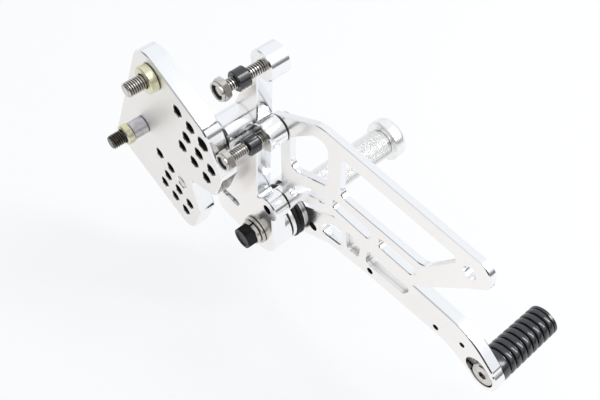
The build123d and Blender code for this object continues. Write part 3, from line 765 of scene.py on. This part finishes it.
# The lip bulges inwards by this, at this depth.
LIP_BEAD = 0.1
LIP_BEAD_DEPTH = 0.6
LIP_ROUND = 0.42
# The nylon lies this far below the lip's edge, and reaches this far into the lip.
NYLON_SINK = 0.75
NYLON_BITE = 0.1

for side in SIDES:
    node = f"cylinder_nut_{side}"
    start, end = span_of(node)
    hex_start = start + LIP_HEIGHT
    hex_corner = NUT_FLATS / math.sqrt(3)
    hex_face = NUT_FLATS / 2
    wide = hex_corner + BLANK_SPARE
    blank = turn("blank", [(NUT_BORE, hex_start), (hex_face, hex_start),
                           (wide, hex_start + NUT_CHAMFER), (wide, end - NUT_CHAMFER),
                           (hex_face, end), (NUT_BORE, end), (NUT_BORE, hex_start)])
    bpy.ops.object.select_all(action="DESELECT")
    bpy.ops.mesh.primitive_cylinder_add(
        vertices=6, radius=hex_corner * MM, depth=BAR_LENGTHS * (end - start) * MM,
        location=(0, hex_start * MM, 0), rotation=(QUARTER_TURN, QUARTER_TURN, 0),
    )
    combine(blank, bpy.context.object, "INTERSECT")
    root = hex_start + OVERLAP
    lip = turn("lip", [(LIP_OUTER, root), (LIP_OUTER, start), (LIP_OPENING, start),
                       (LIP_OPENING - LIP_BEAD, start + LIP_BEAD_DEPTH), (LIP_OPENING, root),
                       (LIP_OUTER, root)], rounding=LIP_ROUND)
    nut = join([blank, lip])
    nut.name = f"lock_nut_{side}"
    shift(nut, axis_of(node))
    finish_piece(nut, "frame", PLATED_STEEL)
    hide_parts(node)
    outer = LIP_OPENING + NYLON_BITE
    sunk = start + NYLON_SINK
    ring = turn(f"nut_insert_{side}", [(outer, sunk), (outer, hex_start), (NUT_BORE, hex_start),
                                       (NUT_BORE, sunk), (outer, sunk)])
    shift(ring, axis_of(node))
    finish_piece(ring, "frame", NYLON)

# %% [markdown]
# ## Tapped position holes
#
# The base plate's spare holes are tapped, and from above only their shadowed threads
# show. The threads are one sleeve, made as a plug that a threaded core is cut out of,
# nearly flush with the plate, and nearly black as painted shade for the deep holes. It
# is then copied to each open hole. A bracket bolt takes one place in each group. The
# upper bolt ends below the face, so the hole above it gets a plain dark liner, painted
# shade too.

# %% One threaded sleeve, copied to every open hole
BASE_TURN = math.radians(-21.8)
HOLE_FIRST = (-58.6, 83.8)
HOLE_PITCH = 10.5
HOLE_ROW_PITCH = 12.7
HOLE_ROW_SHIFTS = (0.0, 10.0, 9.0)
HOLE_GROUP_STEP = (-5.3, -63.5)
HOLE_GROUPS = 2
HOLE_ROWS = 3
HOLE_COLUMNS = 3
# Row and column of the place that a bracket bolt takes.
BOLTED = (0, 2)
HOLE_WALL = 3.41
SLEEVE_CREST = 2.95
SLEEVE_PITCH = 1.25
SLEEVE_INSET = 0.2
SLEEVE_BACK_INSET = 0.1
# The core goes past both ends of the insert.
CORE_SPARE = 3
BOLT_HOLE_WALL = 4.03
BOLT_HOLE_BORE = 3.7
BOLT_HOLE_DEPTH = 4.2


def hole_place(group, row, column):
    """Place of a position hole in the side view, in metres."""
    u = HOLE_FIRST[0] + HOLE_ROW_SHIFTS[row] + column * HOLE_PITCH + group * HOLE_GROUP_STEP[0]
    v = HOLE_FIRST[1] - row * HOLE_ROW_PITCH + group * HOLE_GROUP_STEP[1]
    turned = Vector((u * math.cos(BASE_TURN) - v * math.sin(BASE_TURN), 0,
                     u * math.sin(BASE_TURN) + v * math.cos(BASE_TURN)))
    return turned * MM


base_inner, base_outer = span_of("base_plate")
first = base_inner + SLEEVE_INSET
last = base_outer - SLEEVE_BACK_INSET
core = thread("core", SLEEVE_CREST + THREAD_DEPTH * SLEEVE_PITCH / 2, SLEEVE_PITCH,
              first - CORE_SPARE, last + CORE_SPARE)
thread_sleeve = turn("shaded_tapped_threads", [(0, first), (HOLE_WALL, first), (HOLE_WALL, last), (0, last)],
              steps=THREAD_STEPS)
combine(thread_sleeve, core, "DIFFERENCE")
holes = [hole_place(group, row, column) for group in range(HOLE_GROUPS)
         for row in range(HOLE_ROWS) for column in range(HOLE_COLUMNS)
         if (row, column) != BOLTED]
copies = [thread_sleeve]
for place in holes[1:]:
    select_only(thread_sleeve)
    bpy.ops.object.duplicate()
    copies.append(bpy.context.object)
    shift(copies[-1], place)
shift(thread_sleeve, holes[0])
liner_end = first + BOLT_HOLE_DEPTH
bolt_hole_shade = turn("bolt_hole_shade", [(BOLT_HOLE_WALL, first), (BOLT_HOLE_WALL, liner_end),
                               (BOLT_HOLE_BORE, liner_end), (BOLT_HOLE_BORE, first),
                               (BOLT_HOLE_WALL, first)])
shift(bolt_hole_shade, hole_place(0, *BOLTED))
shaded_threads = join(copies + [bolt_hole_shade])
# Painted shade: the threads and the bolt hole's liner are nearly black, for the shade deep in the
# holes.
finish_piece(shaded_threads, "frame", HOLE_SHADE_BLACK)

# %% [markdown]
# ## Drilled holes of the pedal
#
# The rod hole and three small drillings of the pedal look dark inside. A thin turned
# liner lies on each wall, inside both faces, nearly black as painted shade.

# %% Dark liners in the pedal's holes
# Place in the side view and diameter of each hole.
PEDAL_HOLES = [((21.0, 1.2), 6.6), ((68.5, 9.0), 4.4), ((117.5, 12.8), 3.8), ((134.7, 18.3), 3.4)]
PEDAL_INNER_FACE = 25.6
LINER_WALL = 0.15
LINER_INSET = 0.15
# A liner is sunk this far into the wall, so no gap shows behind it.
LINER_SINK = 0.02
LINER_STEPS = 32

liner_start = PEDAL_INNER_FACE + LINER_INSET
liner_end = span_of("pedal")[1] - LINER_INSET
liners = []
for (x, z), dia in PEDAL_HOLES:
    outer = dia / 2 + LINER_SINK
    inner = outer - LINER_WALL
    liner = turn("shaded_drill_walls", [(outer, liner_start), (outer, liner_end), (inner, liner_end),
                                   (inner, liner_start), (outer, liner_start)],
                 steps=LINER_STEPS)
    shift(liner, (x * MM, 0, z * MM))
    liners.append(liner)
shaded_drill_walls = join(liners)
# Painted shade: the liners are nearly black, for the shade inside the holes.
finish_piece(shaded_drill_walls, "brake_pedal", HOLE_SHADE_BLACK)

# %% [markdown]
# ## Knurled grip
#
# The foot peg is knurled between its flange and its cap: two crossing sets of grooves
# leave rows of small pyramids. A ring of quads with every second corner raised, split
# along the low diagonals, gives exactly those, and an Array repeats it along the bar.
# The real pitch is about 1.2 mm, and it is drawn at very nearly that.

# %% Diamond knurl round the foot peg
KNURL_RADIUS = 9.77
KNURL_RAISE = 0.36
KNURL_AROUND = 48
KNURL_START = 40.4
KNURL_END = 100.0
KNURL_SMOOTH_ANGLE = 5
knurl_pitch = math.tau * KNURL_RADIUS / KNURL_AROUND

bpy.ops.object.select_all(action="DESELECT")
bpy.ops.mesh.primitive_cylinder_add(
    vertices=2 * KNURL_AROUND, radius=KNURL_RADIUS * MM, depth=knurl_pitch * MM,
    end_fill_type="NOTHING", rotation=(QUARTER_TURN, 0, 0),
)
knurl = bpy.context.object
knurl.name = "knurled_grip"
bpy.ops.object.transform_apply(location=True, rotation=True, scale=True)
bpy.ops.object.mode_set(mode="EDIT")
bpy.ops.mesh.select_all(action="SELECT")
bpy.ops.mesh.bisect(plane_co=(0, 0, 0), plane_no=(0, 1, 0))
bpy.ops.mesh.select_mode(type="VERT")
bpy.ops.mesh.select_all(action="DESELECT")
bpy.ops.object.mode_set(mode="OBJECT")
for corner in knurl.data.vertices:
    column = round(math.atan2(corner.co.z, corner.co.x) / math.tau * 2 * KNURL_AROUND)
    row = round(corner.co.y / (knurl_pitch * MM / 2))
    corner.select = (column + row) % 2 == 0
bpy.ops.object.mode_set(mode="EDIT")
grow = 1 + KNURL_RAISE / KNURL_RADIUS
bpy.ops.transform.resize(value=(grow, 1, grow), center_override=(0, 0, 0))
bpy.ops.mesh.select_all(action="SELECT")
bpy.ops.transform.translate(value=(0, KNURL_START * MM, 0))
bpy.ops.object.mode_set(mode="OBJECT")
repeat_along(knurl, knurl_pitch, math.ceil((KNURL_END - KNURL_START) / knurl_pitch) + 1)
apply_modifiers(knurl)
bpy.ops.object.mode_set(mode="EDIT")
bpy.ops.mesh.select_all(action="SELECT")
bpy.ops.mesh.quads_convert_to_tris(quad_method="SHORTEST_DIAGONAL")
trim(KNURL_START, keep_above=True)
trim(KNURL_END, keep_above=False)
bpy.ops.object.mode_set(mode="OBJECT")
close_mesh(knurl)
finish_piece(knurl, "frame", TURNED_ALLOY, angle=KNURL_SMOOTH_ANGLE)

# %% [markdown]
# ## Ribbed toe peg
#
# The toe peg is turned from aluminium bar and dyed black. Its ribs have rounded
# shoulders, which catch a soft light each, and narrow grooves between them that stay
# black. Each shoulder is drawn with three corners, and smooth shading rounds them.

# %% Toe peg with rounded ribs
TOE_START_RADIUS = 9.35
TOE_END_RADIUS = 8.85
TOE_GROOVE_FIRST = 5.5
TOE_GROOVE_PITCH = 4.45
TOE_GROOVES = 9
TOE_GROOVE_HALF = 0.6
TOE_GROOVE_SINK = 1.4
TOE_GROOVE_SLOPE = 0.15
# Corners of a shoulder: how far below the rib's top, how far back from the groove.
TOE_SHOULDER = [(0.0, 0.75), (0.1, 0.38), (0.42, 0.06)]
TOE_ROUND = 1.9
# Middle corner of the rounded end: distance below the side, share of the rounding.
TOE_ROUND_SINK = 0.5
TOE_ROUND_SHARE = 0.55
# The rounded peg ends this far short of the solid that it replaces.
TOE_DROP = 1.3
TOE_BORE = 3.03
TOE_BORE_DEPTH = 14.3
TOE_STEPS = 64

toe_start, toe_end = span_of("toe_peg")


def toe_radius(y):
    """Radius of the tapered peg at a station."""
    taper = TOE_END_RADIUS - TOE_START_RADIUS
    return TOE_START_RADIUS + taper * (y - toe_start) / (toe_end - toe_start)


bore_end = toe_start + TOE_BORE_DEPTH
profile = [(0, bore_end), (TOE_BORE, bore_end), (TOE_BORE, toe_start),
           (toe_radius(toe_start), toe_start)]
for groove in range(TOE_GROOVES):
    middle = toe_start + TOE_GROOVE_FIRST + groove * TOE_GROOVE_PITCH
    before, after = middle - TOE_GROOVE_HALF, middle + TOE_GROOVE_HALF
    profile += [(toe_radius(before) - sink, before - back) for sink, back in TOE_SHOULDER]
    profile += [(toe_radius(before) - TOE_GROOVE_SINK, before + TOE_GROOVE_SLOPE),
                (toe_radius(after) - TOE_GROOVE_SINK, after - TOE_GROOVE_SLOPE)]
    profile += [(toe_radius(after) - sink, after + back) for sink, back in reversed(TOE_SHOULDER)]
end_radius = toe_radius(toe_end)
profile += [(end_radius, toe_end - TOE_ROUND - TOE_DROP),
            (end_radius - TOE_ROUND_SINK, toe_end - TOE_ROUND_SHARE * TOE_ROUND - TOE_DROP),
            (end_radius - TOE_ROUND, toe_end - TOE_DROP), (0, toe_end - TOE_DROP)]
toe = turn("ribbed_toe_peg", profile, steps=TOE_STEPS)
shift(toe, axis_of("toe_peg"))
finish_piece(toe, "toe", BLACK_ALLOY)
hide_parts("toe_peg")
